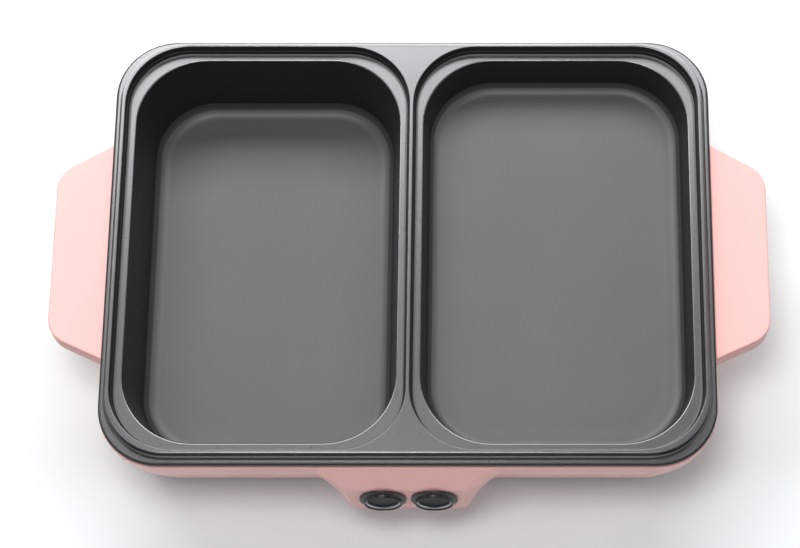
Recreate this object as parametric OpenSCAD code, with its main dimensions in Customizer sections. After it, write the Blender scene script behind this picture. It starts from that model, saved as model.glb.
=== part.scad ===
// Electric twin-basin hot pot and grill: a pink moulded body with two flat wing handles and a
// front control console, and a die-cast twin pan with a deep and a shallow basin.
// Millimetres, +Z up, resting on its feet at Z = 0. The knobs face -Y and +X is to the right
// of a person who faces the knobs.

/* [Twin pan] */

// Width of the pan over its outer flange, along X
pan_width = 320; // [280:1:360]
// Depth of the pan over its outer flange, along Y
pan_depth = 239.6; // [210:0.2:270]
// Corner radius of the outer flange, seen from above
flange_radius = 32.3; // [24:0.1:38]
// Thickness of the flange and of the ledge plate
flange_thick = 2.6; // [2:0.1:4]
// Height of the flange's top face above the table
flange_top = 78; // [74:0.5:86]
// From the flange's edge in to the upright rim
rim_inset = 4.4; // [3:0.1:6]
// Corner radius of the rim's outer face
rim_radius = 32; // [24:0.5:36]
// Height of the rim above the flange
rim_height = 7; // [5:0.1:9]
// Width of the rim along its top
rim_width = 2; // [1.6:0.1:3]
// Radius of the hollow where the rim rises from the flange
rim_hollow = 2.6; // [1.6:0.1:3.4]
// Width of the small step partway down the rim's inner face
rim_step = 0.4; // [0.2:0.1:0.8]
// Height of that step above the ledge
rim_step_height = 2.2; // [1.4:0.1:3.4]
// Draft of the rim's inner and outer faces over its height
rim_draft = 0.9; // [0.4:0.1:1.4]
// Width of the lid ledge round each basin
ledge_width = 4.6; // [3.6:0.1:6]
// Width of the top of the wall between the two basins
divider_width = 2; // [1.6:0.1:3.4]
// Corner radius of the step above each ledge
ledge_radius = 32.7; // [24:0.1:35]
// Corner radius of each basin's mouth
basin_radius = 37; // [28:0.5:42]
// How much a basin's corner radius shrinks for each millimetre that its wall comes in
basin_taper = 0.8; // [0.5:0.1:1]
// Wall thickness of the basins
basin_wall = 2.6; // [2:0.1:3.6]
// Depth of the hot pot basin below its ledge
pot_depth = 49; // [40:0.5:52]
// Lean of the hot pot basin's wall, over its height
pot_lean = 4.6; // [2:0.1:8]
// Radius where the hot pot basin's wall meets its floor
pot_fillet = 8; // [6:0.5:14]
// Depth of the grill basin below its ledge
grill_depth = 26; // [20:0.5:34]
// Lean of the grill basin's wall, over its height
grill_lean = 2.4; // [1:0.1:5]
// Radius where the grill basin's wall meets its floor
grill_fillet = 6.4; // [5:0.1:10]
// Width of the flat margin round the hot pot's sunk floor
pot_margin = 6; // [2:0.1:8]
// Width of the flat margin round the grill's sunk floor
grill_margin = 3.4; // [1:0.1:6]
// How far each cooking floor is sunk below its margin
floor_sink = 1; // [0.6:0.1:1.6]
// Diameter of the two bosses under the pan's centre line
pan_boss_d = 10; // [8:0.5:12]
// Length of the two bosses under the pan's centre line
pan_boss_drop = 14; // [8:0.5:20]
// From the flange's edge in to the axis of each boss
pan_boss_inset = 23; // [20:0.5:28]

/* [Body] */

// How far the body's upright top band stands out past the flange's edge
body_proud = 0.4; // [0:0.1:1.5]
// Height of the body's upright top band
band_height = 13; // [12:0.5:18]
// How far the body's wall leans in from the band to the bottom
body_lean = 13.4; // [8:0.2:17]
// Corner radius of the body's band, seen from above
body_radius = 32.7; // [24:0.1:36]
// Rounding of the body's bottom edge
body_foot_round = 2; // [1:0.1:4]
// Wall thickness of the body
body_wall = 2.4; // [1.8:0.1:3.4]
// Thickness of the sealing ring between the flange and the body
seal_thick = 1.4; // [0.8:0.1:2.4]
// How far the sealing ring stands back from the body's outer face
seal_inset = 1; // [0.6:0.1:1.8]
// Width of the sealing ring
seal_width = 4; // [3:0.1:6]
// Thickness of the bottom cover
cover_thick = 2; // [1.4:0.1:3]
// How far the bottom cover stands back from the body's bottom edge
cover_inset = 1; // [0.4:0.1:2]
// Number of vent slots in the bottom cover
vent_count = 9; // [5:1:13]
// Length of each vent slot
vent_length = 46; // [30:1:60]
// Width of each vent slot
vent_width = 4; // [2:0.5:6]
// Spacing of the vent slots
vent_pitch = 12; // [8:0.5:16]
// Height of the rubber feet
foot_height = 4; // [3:0.5:8]
// Diameter of the rubber feet
foot_d = 18; // [12:0.5:24]
// From the bottom cover's edge in to the axis of each foot
foot_inset = 24; // [18:1:40]
// Diameter of the body's screw bosses
boss_d = 10; // [8:0.5:12]
// Height of the body's screw bosses
boss_height = 15; // [11:1:17]
// From the body's bottom edge in to the axis of each screw boss
boss_inset = 6.5; // [5.5:0.1:9]

/* [Handles] */

// How far each wing handle stands out from the body
handle_reach = 29.1; // [22:0.1:38]
// Length of each wing handle along Y at its root
handle_root = 121; // [100:1:140]
// Length of each wing handle along Y at its grip edge
handle_grip = 100; // [80:1:120]
// Thickness of the wing handles
handle_thick = 11; // [8:0.5:12.5]
// Corner radius of the wing handles at the grip edge
handle_radius = 15; // [8:0.5:22]
// Rounding of the wing handles' top and bottom edges
handle_round = 1.6; // [0.8:0.1:3]
// Drop of the handles' top below the body's top edge
handle_drop = 0.6; // [0.2:0.1:2]
// Spacing of the two screws that hold each handle
handle_screw_pitch = 80; // [60:1:96]

/* [Control console] */

// Width of the console where it leaves the body
console_root = 98; // [88:1:120]
// Width of the console at the upper edge of its front face
console_face = 74; // [66:1:90]
// How much narrower the front face is at its lower edge
console_narrow = 12; // [4:1:20]
// How far the console's front face stands out from the body's band
console_reach = 9.8; // [8:0.1:15]
// Height of the console
console_height = 43.3; // [38:0.1:50]
// Drop of the console's top below the body's top edge
console_drop = 0.6; // [0.4:0.1:4]
// Fall of the console's top from the body to the front face
console_fall = 8.8; // [4:0.1:12]
// How far the console's face and the knobs' axes lean back, in degrees
face_tilt = 5; // [0:0.5:10]
// Rounding of the console's edges
console_round = 6; // [3:0.5:8]
// Wall thickness of the console
console_wall = 2.4; // [1.8:0.1:3.2]
// Spacing of the two knobs
knob_pitch = 26.8; // [26:0.1:32]
// Height of the knobs' axes above the table
knob_height = 48; // [44:0.5:54]
// Diameter of each knob's skirt
knob_skirt_d = 24.5; // [21:0.1:25.4]
// Thickness of each knob's skirt at its edge
knob_skirt_thick = 0.8; // [0.6:0.1:2]
// Diameter of each knob's cup
knob_cap_d = 20; // [16:0.1:20.4]
// How far each knob's cup stands out from the skirt's back
knob_cap_rise = 2.9; // [2.2:0.1:5]
// Width of the lip round each knob's cup
knob_lip = 0.6; // [0.4:0.1:1.2]
// Width of the bright bevelled ring inside each knob's cup
knob_ring_width = 1.9; // [1.2:0.1:3]
// Height of the bright ring above the cup's floor
knob_ring_rise = 1.3; // [0.6:0.1:1.8]
// Thickness of the cup's floor, in front of the skirt's back
knob_floor = 0.9; // [0.7:0.1:1.6]
// Diameter of the hub behind each knob's skirt
knob_hub_d = 9; // [8:0.1:11]
// Length of that hub
knob_hub = 2.4; // [1.6:0.1:2.6]
// Gap between each knob's skirt and the console
knob_gap = 0.5; // [0.4:0.1:1.2]
// Diameter of the thermostat shafts
shaft_d = 6; // [5:0.1:6.4]
// Running clearance between a shaft and its thermostat, on the radius
shaft_clear = 0.06; // [0.03:0.01:0.1]
// Clearance between a hub and the console's hole, or a shaft and the bracket's, on the radius
hole_clear = 0.6; // [0.4:0.1:1.2]
// Depth that a shaft reaches into its thermostat
shaft_seat = 9; // [6:0.5:10]

/* [Inside] */

// Width of each thermostat
thermostat_size = 24; // [18:0.5:25]
// Room left above or below the thermostats in the console, its wall included
thermostat_room = 4.6; // [4:0.1:7]
// Depth of each thermostat
thermostat_depth = 14; // [12:0.5:15]
// Thickness of the steel thermostat bracket
bracket_thick = 1.2; // [0.8:0.1:2]
// Diameter of the tubular heating elements
heater_d = 6.6; // [6:0.1:7.4]
// Flat pressed on the top of the heating elements, below their round top
heater_flat = 0.5; // [0.3:0.1:1]
// Width between the legs of each heating element
heater_width = 66; // [50:1:76]
// Length of the straight legs of each heating element
heater_leg = 84; // [60:1:96]
// Length of the cold pins that leave each heating element
heater_pin = 16; // [10:1:20]
// Diameter of the cold pins
heater_pin_d = 3; // [2.4:0.1:4]
// Width of the straps that hold the heating elements
strap_width = 8; // [6:0.5:12]
// Thickness of the straps
strap_thick = 1.2; // [0.8:0.1:2]
// Thickness of the heat shield
shield_thick = 0.8; // [0.6:0.1:1.4]
// Height of the heat shield above the bottom cover
shield_rise = 7; // [5:0.5:8]
// Gap between the heat shield and the body's screw bosses
shield_gap = 2; // [1:0.5:4]
// Diameter of the heat shield's spacers
spacer_d = 8; // [6:0.5:10]
// Diameter of the temperature sensors
sensor_d = 14; // [10:0.5:18]
// Thickness of the temperature sensors
sensor_thick = 4; // [3:0.5:5]
// Diameter of the thermal fuse
fuse_d = 5; // [4:0.1:7]
// Length of the thermal fuse
fuse_length = 18; // [14:0.5:24]
// Distance of the fuse to the left of the body's middle
fuse_side = 30; // [20:1:60]
// Distance of the fuse behind the body's middle
fuse_back = 60; // [20:1:66]
// Diameter of the small screws
screw_d = 3; // [2.6:0.1:3.6]
// Diameter of the small screws' heads
screw_head_d = 6; // [5:0.1:7]
// Thickness of the small screws' heads
screw_head = 1.8; // [1.2:0.1:2.4]
// Diameter of the hole through the cord bush
bush_hole = 7; // [6:0.1:9]
// Diameter of the cord bush where it passes the body
bush_d = 12; // [11:0.1:14]
// Diameter of the cord bush's collar
bush_collar_d = 17; // [15:0.1:20]
// Length of the cord bush outside the body
bush_out = 6; // [3:0.5:8]
// Height of the cord bush above the table
bush_height = 38; // [28:0.5:44]
// Distance of the cord bush from the middle of the back
bush_side = 0; // [-8:1:8]
// Diameter of the wires inside
wire_d = 2.4; // [1.8:0.1:3]

/* [Hidden] */
small = 0.01;
fine = 48;
// gap left between two seated pieces
seat_gap = 0.05;

// Levels above the table
cover_bottom = foot_height;
body_bottom = cover_bottom + cover_thick;
flange_under = flange_top - flange_thick;
body_top = flange_under - seal_thick;
band_bottom = body_top - band_height;
rim_top = flange_top + rim_height;
shield_bottom = body_bottom + shield_rise;

// Half sizes of the pan's rectangles
half_w = pan_width / 2;
half_d = pan_depth / 2;
ledge_out = rim_inset + rim_width + rim_draft;
divider_foot = divider_width / 2 + rim_draft;
basin_x0 = divider_foot + ledge_width;
basin_x1 = half_w - ledge_out - ledge_width;
basin_cx = (basin_x0 + basin_x1) / 2;
basin_w = basin_x1 - basin_x0;
basin_d = 2 * (half_d - ledge_out - ledge_width);
ledge_cx = (divider_foot + half_w - ledge_out) / 2;
ledge_w = half_w - ledge_out - divider_foot;
ledge_d = 2 * (half_d - ledge_out);
pot_under = flange_top - pot_depth - floor_sink - basin_wall;
grill_under = flange_top - grill_depth - floor_sink - basin_wall;
boss_y = half_d - pan_boss_inset;

// Planes of the body
band_x = half_w + body_proud;
band_y = half_d + body_proud;
lean_height = band_bottom - body_bottom - body_foot_round;
boss_x = band_x - body_lean - body_foot_round - boss_inset;
boss_y0 = band_y - body_lean - body_foot_round - boss_inset;

// Planes of the console
face_y = -band_y - console_reach;
console_top = body_top - console_drop;
console_bottom = console_top - console_height;
face_back = face_y + console_wall;
console_back = -band_y + body_lean + 3;
thermostat_front = face_back + seat_gap + bracket_thick;
// the thermostats' height, from the nearer of the console's top and bottom at its face
thermostat_h = 2 * (min(console_top - console_fall - knob_height, knob_height - console_bottom)
    - thermostat_room);
// how far the thermostats reach past the bracket, above and below
bracket_margin = 2;
// share of a thermostat's width and height that its back part has
back_share = 0.8;
// the lower edge of the body's window, clear of the thermostats' back parts
window_clear = 2.3;
window_bottom = knob_height - back_share * thermostat_h / 2 - window_clear;
knob_x = knob_pitch / 2;
skirt_back = face_y - knob_gap;
face_lean = (console_height - console_fall - 2 * console_round) * tan(face_tilt);
// where the leaning face stands at the height of the knobs
knob_face_y = face_y + console_round * (1 - cos(face_tilt)) + tan(face_tilt)
    * (knob_height - console_bottom - console_round * (1 + sin(face_tilt)));

// The whole part is moved along Y, so that its box is centred on the origin
front_reach = -knob_face_y + (knob_gap + knob_cap_rise) * cos(face_tilt)
    + (knob_cap_d / 2 - 0.2) * sin(face_tilt);
back_reach = band_y;
shift_y = (front_reach - back_reach) / 2;

/* Nodes */
// Which node to draw, or "all"

// ---------------------------------------------------------------- colours
pink = [0.98, 0.78, 0.76];
dark = [0.24, 0.24, 0.25];
black = [0.10, 0.10, 0.11];
steel = [0.74, 0.75, 0.77];
zinc = [0.60, 0.62, 0.64];
cream = [0.90, 0.88, 0.82];
brown = [0.36, 0.26, 0.20];

// ---------------------------------------------------------------- shared shapes
// The four corners of a rounded rectangle, centred on x, as thin discs at height z
module slab(z, w, d, r, x = 0) {
    translate([x, 0, z]) linear_extrude(small)
        for (sx = [-1, 1], sy = [-1, 1])
            translate([sx * (w / 2 - r), sy * (d / 2 - r)]) circle(r, $fn = 32);
}

// A body through rounded rectangles: each level is [z, w, d, r]
module loft(levels, x = 0) {
    for (i = [0 : len(levels) - 2]) hull() {
        a = levels[i];
        b = levels[i + 1];
        slab(a[0], a[1], a[2], a[3], x);
        slab(b[0], b[1], b[2], b[3], x);
    }
}

// A level of the same corner centres, drawn in by g
function drawn(z, w, d, r, g) = [z, w - 2 * g, d - 2 * g, max(r - g, 1)];

// A level of a basin, drawn in by g
function basin_level(z, g) = [z, basin_w - 2 * g, basin_d - 2 * g,
    basin_radius - basin_taper * g];

// A basin's levels, from its floor to above its mouth, grown outward by g
function basin_levels(depth, lean, fillet, g) = concat(
    [for (a = [0 : 15 : 75]) basin_level(flange_top - depth + fillet * (1 - cos(a)) - g,
        lean + fillet * (1 - sin(a)) - g)],
    [basin_level(flange_top - depth + fillet - g, lean - g)],
    [basin_level(flange_top + (g > 0 ? -flange_thick / 2 : small), -g)]);

// A screw along +Z with its head's underside at the origin
module screw(length) {
    translate([0, 0, -screw_head]) cylinder(h = screw_head, d = screw_head_d, $fn = fine);
    cylinder(h = length, d = screw_d, $fn = fine);
}

// The body's outer face, drawn in by g, between two heights
module body_form(g, z0, z1) {
    w = 2 * band_x;
    d = 2 * band_y;
    loft([drawn(z0, w, d, body_radius, g + body_lean + (g > 0 ? 0 : body_foot_round)),
        drawn(body_bottom + body_foot_round, w, d, body_radius, g + body_lean),
        drawn(band_bottom, w, d, body_radius, g),
        drawn(z1 - small, w, d, body_radius, g)]);
}

// The places of the six cover screws, each with its turn towards the wall in $turn
module at_cover_screws() {
    for (sx = [-1, 1], sy = [-1, 0, 1]) {
        $turn = sy == 0 ? 90 - 90 * sx : 90 * sy;
        translate([sx * (sy == 0 ? boss_x : boss_x * 0.62), sy * boss_y0, 0]) children();
    }
}

// The places of the two pan posts
module at_pan_posts() {
    for (sy = [-1, 1]) translate([0, sy * boss_y, 0]) children();
}

// The places and axes of the four handle screws, each pointing out of the body
module at_handle_screws() {
    for (sx = [-1, 1], sy = [-1, 1])
        translate([sx * (band_x - body_wall), sy * handle_screw_pitch / 2,
            body_top - handle_drop - handle_thick / 2]) rotate([0, sx * 90, 0]) children();
}

// The places and axes of the two console screws, each pointing out of the body
console_boss_d = screw_d + 5;
console_boss_length = console_reach * 0.4;
console_screw_x = console_face / 2 - 1;
console_screw_z = band_bottom + console_boss_d / 2 - 0.8;
console_boss_top = console_top - console_fall * console_boss_length / console_reach
    - console_wall / 2;
module at_console_screws() {
    for (sx = [-1, 1])
        translate([sx * console_screw_x, -band_y + body_wall, console_screw_z])
            rotate([90, 0, 0]) children();
}

// ---------------------------------------------------------------- body
// The moulded tub: band, leaning wall, screw bosses and its openings
module base_housing() color(pink) difference() {
    union() {
        difference() {
            body_form(0, body_bottom, body_top);
            body_form(body_wall, body_bottom - 1, body_top + 1);
        }
        intersection() {
            at_cover_screws() {
                translate([0, 0, body_bottom])
                    cylinder(h = boss_height, d = boss_d, $fn = fine);
                rotate($turn) translate([0, -body_wall / 2, body_bottom])
                    cube([2 * boss_d, body_wall, boss_height - 4]);
            }
            body_form(body_wall / 2, body_bottom, body_top);
        }
    }
    at_cover_screws() translate([0, 0, body_bottom - 1])
        cylinder(h = boss_height - 3, d = screw_d, $fn = fine);
    at_handle_screws() translate([0, 0, -1])
        cylinder(h = body_wall + 2, d = screw_d, $fn = fine);
    at_console_screws() translate([0, 0, -1])
        cylinder(h = body_wall + 2, d = screw_d, $fn = fine);
    // the window behind the thermostats
    window_w = knob_pitch + thermostat_size + 8;
    translate([-window_w / 2, -half_d, window_bottom])
        cube([window_w, half_d / 2, band_bottom - window_bottom - 1]);
    // the hole for the cord bush
    translate([bush_side, half_d, bush_height]) rotate([90, 0, 0])
        cylinder(h = half_d / 2, d = bush_d + 0.1, $fn = fine);
}

// The flat steel cover under the tub, with vent slots under both basins
module bottom_cover() color(zinc) difference() {
    g = body_lean + body_foot_round + cover_inset;
    w = 2 * (band_x - g);
    d = 2 * (band_y - g);
    translate([0, 0, cover_bottom]) linear_extrude(cover_thick) hull()
        for (sx = [-1, 1], sy = [-1, 1]) translate([sx * (w / 2 - body_radius + g),
            sy * (d / 2 - body_radius + g)]) circle(body_radius - g, $fn = fine);
    for (sx = [-1, 1], i = [0 : vent_count - 1])
        translate([sx * basin_cx, (i - (vent_count - 1) / 2) * vent_pitch, cover_bottom - 1])
            linear_extrude(cover_thick + 2) union() {
                square([vent_length - vent_width, vent_width], center = true);
                for (e = [-1, 1]) translate([e * (vent_length - vent_width) / 2, 0])
                    circle(d = vent_width, $fn = 24);
            }
    at_cover_screws() translate([0, 0, cover_bottom - 1])
        cylinder(h = cover_thick + 2, d = screw_d, $fn = fine);
    at_pan_posts() translate([0, 0, cover_bottom - 1])
        cylinder(h = cover_thick + 2, d = screw_d, $fn = fine);
}

// Four rubber feet under the corners of the cover
module rubber_feet() color(black) {
    g = body_lean + body_foot_round + cover_inset + foot_inset;
    for (sx = [-1, 1], sy = [-1, 1])
        translate([sx * (band_x - g), sy * (band_y - g), 0])
            cylinder(h = foot_height, d = foot_d, $fn = fine);
}

module cover_screws() color(steel) at_cover_screws()
    translate([0, 0, cover_bottom]) screw(cover_thick + boss_height - 5);

// ---------------------------------------------------------------- handles
// The outline of the right handle, drawn in by g and kept outside the body's band
module handle_outline(g) intersection() {
    hull() for (sy = [-1, 1]) {
        translate([handle_reach - handle_radius, sy * (handle_grip / 2 - handle_radius)])
            circle(handle_radius - g, $fn = 48);
        translate([seat_gap + small / 2, sy * (handle_root / 2 - 4 - g)])
            square([small, 8], center = true);
    }
    translate([seat_gap, -handle_root]) square([handle_reach, 2 * handle_root]);
}

module handle() {
    difference() {
        translate([band_x, 0, body_top - handle_drop - handle_thick]) hull() {
            linear_extrude(small) handle_outline(handle_round);
            translate([0, 0, handle_round * 0.3]) linear_extrude(small)
                handle_outline(handle_round * 0.3);
            translate([0, 0, handle_round]) linear_extrude(handle_thick - 2 * handle_round)
                handle_outline(0);
            translate([0, 0, handle_thick - handle_round * 0.3]) linear_extrude(small)
                handle_outline(handle_round * 0.3);
            translate([0, 0, handle_thick - small]) linear_extrude(small)
                handle_outline(handle_round);
        }
        at_handle_screws() translate([0, 0, body_wall - 1])
            cylinder(h = 11, d = screw_d, $fn = fine);
    }
}

module right_handle() color(pink) handle();
module left_handle() color(pink) mirror([1, 0, 0]) handle();

module handle_screws() color(steel) at_handle_screws() screw(body_wall + 8);

// Tilts what is drawn square behind and before the plane y = face_y to the leaning face
module tilt() translate([0, knob_face_y, knob_height]) rotate([-face_tilt, 0, 0])
    translate([0, -face_y, -knob_height]) children();

// ---------------------------------------------------------------- console
// The console seen from above, drawn in by g
module console_plan(g) hull() for (sx = [-1, 1]) {
    translate([sx * (console_face / 2 - console_round), face_y + console_round])
        circle(console_round - g, $fn = 32);
    translate([sx * (console_root / 2 - g - 1), -band_y]) square([2, small], center = true);
    translate([sx * (console_root / 2 - g - 1), console_back + g])
        square([2, small], center = true);
}

// The console seen from the side, with Y to the right, drawn in by g
module console_side(g) hull() {
    translate([face_y + console_round, console_bottom + console_round])
        circle(console_round - g, $fn = 32);
    translate([face_y + console_round + face_lean, console_top - console_fall - console_round])
        circle(console_round - g, $fn = 32);
    translate([-band_y, console_top - g - 1]) square([small, 2], center = true);
    translate([console_back + g, console_top - g - 1]) square([small, 2], center = true);
    translate([console_back + g, console_bottom + g + 1]) square([small, 2], center = true);
}

// The console seen from the front, drawn in by g
module console_front(g) hull() for (sx = [-1, 1]) {
    translate([sx * (console_root / 2 - console_round), console_top - console_round])
        circle(console_round - g, $fn = 32);
    translate([sx * (console_face / 2 - console_narrow / 2 - console_round + 2),
        console_bottom + console_round]) circle(console_round - g, $fn = 32);
}

// The console's outer form, drawn in by g, where its three views meet
module console_form(g) intersection() {
    translate([0, 0, console_bottom - 1]) linear_extrude(console_height + 2) console_plan(g);
    rotate([90, 0, 90]) translate([0, 0, -console_root]) linear_extrude(2 * console_root)
        console_side(g);
    translate([0, console_back + 5, 0]) rotate([90, 0, 0])
        linear_extrude(console_back - face_y + 10) console_front(g);
}

// What the body's front wall takes up, as a block behind its outer face
module body_front() {
    rotate([90, 0, 90]) translate([0, 0, -console_root]) linear_extrude(2 * console_root)
        polygon([[-band_y, body_top + 5], [-band_y, band_bottom],
            [-band_y + body_lean, body_bottom + body_foot_round],
            [-band_y + body_lean, 0], [0, 0], [0, body_top + 5]]);
}

// The front console: an open-backed shell with two shaft holes and two screw bosses
module control_console() color(pink) difference() {
    union() {
        difference() {
            console_form(0);
            console_form(console_wall);
        }
        at_console_screws() translate([0, 0, body_wall - 1]) {
            cylinder(h = console_boss_length + 1, d = console_boss_d, $fn = fine);
            translate([-2, 0, 0])
                cube([4, console_boss_top - console_screw_z, console_boss_length + 1]);
        }
    }
    body_front();
    at_console_screws() translate([0, 0, body_wall - 1])
        cylinder(h = 5, d = screw_d, $fn = fine);
    tilt() for (sx = [-1, 1]) translate([sx * knob_x, face_back + 5, knob_height])
        rotate([90, 0, 0]) cylinder(h = console_wall + 10, d = knob_hub_d + 2 * hole_clear,
            $fn = fine);
}

module console_screws() color(steel) at_console_screws() screw(body_wall + 4);

// The steel plate behind the console's face that carries both thermostats
module thermostat_bracket() color(zinc) tilt() difference() {
    w = knob_pitch + thermostat_size;
    h = thermostat_h - 2 * bracket_margin;
    translate([-w / 2, face_back + seat_gap, knob_height - h / 2])
        cube([w, bracket_thick, h]);
    for (sx = [-1, 1]) translate([sx * knob_x, thermostat_front + 1, knob_height])
        rotate([90, 0, 0]) cylinder(h = bracket_thick + 2, d = shaft_d + 2 * hole_clear,
            $fn = fine);
}

// One thermostat: its case, ceramic foot and two tabs, with the hole that the shaft turns in
module thermostat() difference() {
    union() {
        translate([-thermostat_size / 2, thermostat_front, knob_height - thermostat_h / 2])
            cube([thermostat_size, thermostat_depth * 0.6, thermostat_h]);
        translate([-back_share * thermostat_size / 2, thermostat_front + thermostat_depth * 0.6,
            knob_height - back_share * thermostat_h / 2])
            cube([back_share * thermostat_size, thermostat_depth * 0.4,
                back_share * thermostat_h]);
        for (sx = [-1, 1]) translate([sx * thermostat_size * 0.25 - 0.4,
            thermostat_front + thermostat_depth, knob_height - 3]) cube([0.8, 7, 6]);
    }
    translate([0, thermostat_front + shaft_seat + 0.5, knob_height]) rotate([90, 0, 0])
        cylinder(h = shaft_seat + 2, d = shaft_d + 2 * shaft_clear, $fn = fine);
}

module left_thermostat() color(cream) tilt() translate([-knob_x, 0, 0]) thermostat();
module right_thermostat() color(cream) tilt() translate([knob_x, 0, 0]) thermostat();

// ---------------------------------------------------------------- knobs
// A shaft, from inside its thermostat to inside its knob's hub
module shaft() translate([0, thermostat_front + shaft_seat, knob_height]) rotate([90, 0, 0])
    cylinder(h = thermostat_front + shaft_seat - skirt_back, d = shaft_d, $fn = fine);

module left_shaft() color(steel) tilt() translate([-knob_x, 0, 0]) shaft();
module right_shaft() color(steel) tilt() translate([knob_x, 0, 0]) shaft();

// One knob, turned about its axis: hub, thin skirt and a cup with a rounded lip
cup_r = knob_cap_d / 2 - knob_lip;
module knob() translate([0, skirt_back, knob_height]) rotate([90, 0, 0]) difference() {
    rotate_extrude($fn = 64) polygon([[0, -knob_hub], [knob_hub_d / 2, -knob_hub],
        [knob_hub_d / 2, 0], [knob_skirt_d / 2 - 0.3, 0], [knob_skirt_d / 2, 0.3],
        [knob_skirt_d / 2, knob_skirt_thick - 0.2], [knob_skirt_d / 2 - 0.4, knob_skirt_thick],
        [knob_cap_d / 2 + 0.3, knob_skirt_thick + 0.4], [knob_cap_d / 2, knob_skirt_thick + 0.8],
        [knob_cap_d / 2, knob_cap_rise - 0.3], [knob_cap_d / 2 - 0.2, knob_cap_rise],
        [cup_r, knob_cap_rise], [cup_r, knob_floor], [0, knob_floor]]);
    translate([0, 0, -knob_hub - 1]) cylinder(h = knob_hub + 1, d = shaft_d, $fn = fine);
}

// The bright bevelled ring that lies on the cup's floor, inside its lip
module knob_ring() translate([0, skirt_back - knob_floor, knob_height]) rotate([90, 0, 0])
    rotate_extrude($fn = 64) polygon([[cup_r - knob_ring_width, 0], [cup_r, 0],
        [cup_r, knob_ring_rise], [cup_r - 0.3, knob_ring_rise],
        [cup_r - knob_ring_width, 0.2]]);

module left_knob() color(black) tilt() translate([-knob_x, 0, 0]) knob();
module right_knob() color(black) tilt() translate([knob_x, 0, 0]) knob();
module left_knob_ring() color(steel) tilt() translate([-knob_x, 0, 0]) knob_ring();
module right_knob_ring() color(steel) tilt() translate([knob_x, 0, 0]) knob_ring();

// ---------------------------------------------------------------- pan
// The sealing ring between the flange and the body's top edge
module pan_seal() color(black) {
    w = 2 * (band_x - seal_inset);
    d = 2 * (band_y - seal_inset);
    r = body_radius - seal_inset;
    translate([0, 0, body_top]) linear_extrude(seal_thick) difference() {
        hull() for (sx = [-1, 1], sy = [-1, 1])
            translate([sx * (w / 2 - r), sy * (d / 2 - r)]) circle(r, $fn = fine);
        hull() for (sx = [-1, 1], sy = [-1, 1])
            translate([sx * (w / 2 - r), sy * (d / 2 - r)])
                circle(r - seal_width, $fn = fine);
    }
}

// The die-cast twin pan: flange, rim, two stepped ledges and two basins
module twin_pan() color(dark) difference() {
    union() {
        // flange plate with softened edges
        loft([drawn(flange_under, pan_width, pan_depth, flange_radius, 0.6),
            [flange_under + 0.6, pan_width, pan_depth, flange_radius],
            [flange_top - 0.6, pan_width, pan_depth, flange_radius],
            drawn(flange_top - small, pan_width, pan_depth, flange_radius, 0.5)]);
        // rim, rising from the flange in a hollow
        rim_w = pan_width - 2 * rim_inset;
        rim_d = pan_depth - 2 * rim_inset;
        loft([for (a = [0 : 22.5 : 90]) drawn(flange_top + rim_hollow * (1 - cos(a)) - small,
            rim_w, rim_d, rim_radius, -rim_hollow * (1 - sin(a)))]);
        loft([[flange_top + rim_hollow - 2 * small, rim_w, rim_d, rim_radius],
            [rim_top - 0.6, rim_w, rim_d, rim_radius],
            drawn(rim_top, rim_w, rim_d, rim_radius, 0.5)]);
        loft(basin_levels(pot_depth + floor_sink, pot_lean, pot_fillet, basin_wall), -basin_cx);
        loft(basin_levels(grill_depth + floor_sink, grill_lean, grill_fillet, basin_wall),
            basin_cx);
        at_pan_posts() translate([0, 0, flange_under - pan_boss_drop])
            cylinder(h = pan_boss_drop + 1, d = pan_boss_d, $fn = fine);
    }
    // the recess above each ledge
    for (sx = [-1, 1])
        loft([[flange_top, ledge_w, ledge_d, ledge_radius],
            drawn(flange_top + rim_step_height, ledge_w, ledge_d, ledge_radius,
                -(rim_draft - rim_step) / 2),
            drawn(flange_top + rim_step_height + small, ledge_w, ledge_d, ledge_radius,
                -(rim_draft + rim_step) / 2),
            drawn(rim_top + small, ledge_w, ledge_d, ledge_radius, -rim_draft)],
            sx * ledge_cx);
    // the basins' insides, then their sunk floors
    loft(basin_levels(pot_depth, pot_lean, pot_fillet, 0), -basin_cx);
    loft(basin_levels(grill_depth, grill_lean, grill_fillet, 0), basin_cx);
    pot_in = pot_lean + pot_fillet + pot_margin;
    grill_in = grill_lean + grill_fillet + grill_margin;
    loft([basin_level(flange_top - pot_depth - floor_sink, pot_in + 1),
        basin_level(flange_top - pot_depth + small, pot_in)], -basin_cx);
    loft([basin_level(flange_top - grill_depth - floor_sink, grill_in + 1),
        basin_level(flange_top - grill_depth + small, grill_in)], basin_cx);
    at_pan_posts() translate([0, 0, flange_under - pan_boss_drop - 1])
        cylinder(h = pan_boss_drop - 2, d = screw_d, $fn = fine);
}

// Two steel posts that tie the pan to the bottom cover
module pan_posts() color(steel) at_pan_posts() difference() {
    translate([0, 0, body_bottom])
        cylinder(h = flange_under - pan_boss_drop - body_bottom, d = spacer_d, $fn = fine);
    translate([0, 0, body_bottom - 1]) cylinder(h = 13, d = screw_d, $fn = fine);
    translate([0, 0, flange_under - pan_boss_drop - 8]) cylinder(h = 9, d = screw_d,
        $fn = fine);
}

// The screws under the posts, and the studs between the posts and the pan
module pan_screws() color(steel) at_pan_posts() {
    translate([0, 0, cover_bottom]) screw(cover_thick + 10);
    translate([0, 0, flange_under - pan_boss_drop - 7]) cylinder(h = 14, d = screw_d,
        $fn = fine);
}

// ---------------------------------------------------------------- heating
// The section of a heating element: a round tube with its top pressed flat
module heater_section() difference() {
    circle(d = heater_d, $fn = 24);
    translate([-heater_d, heater_d / 2 - heater_flat]) square([2 * heater_d, heater_d]);
}

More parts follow.
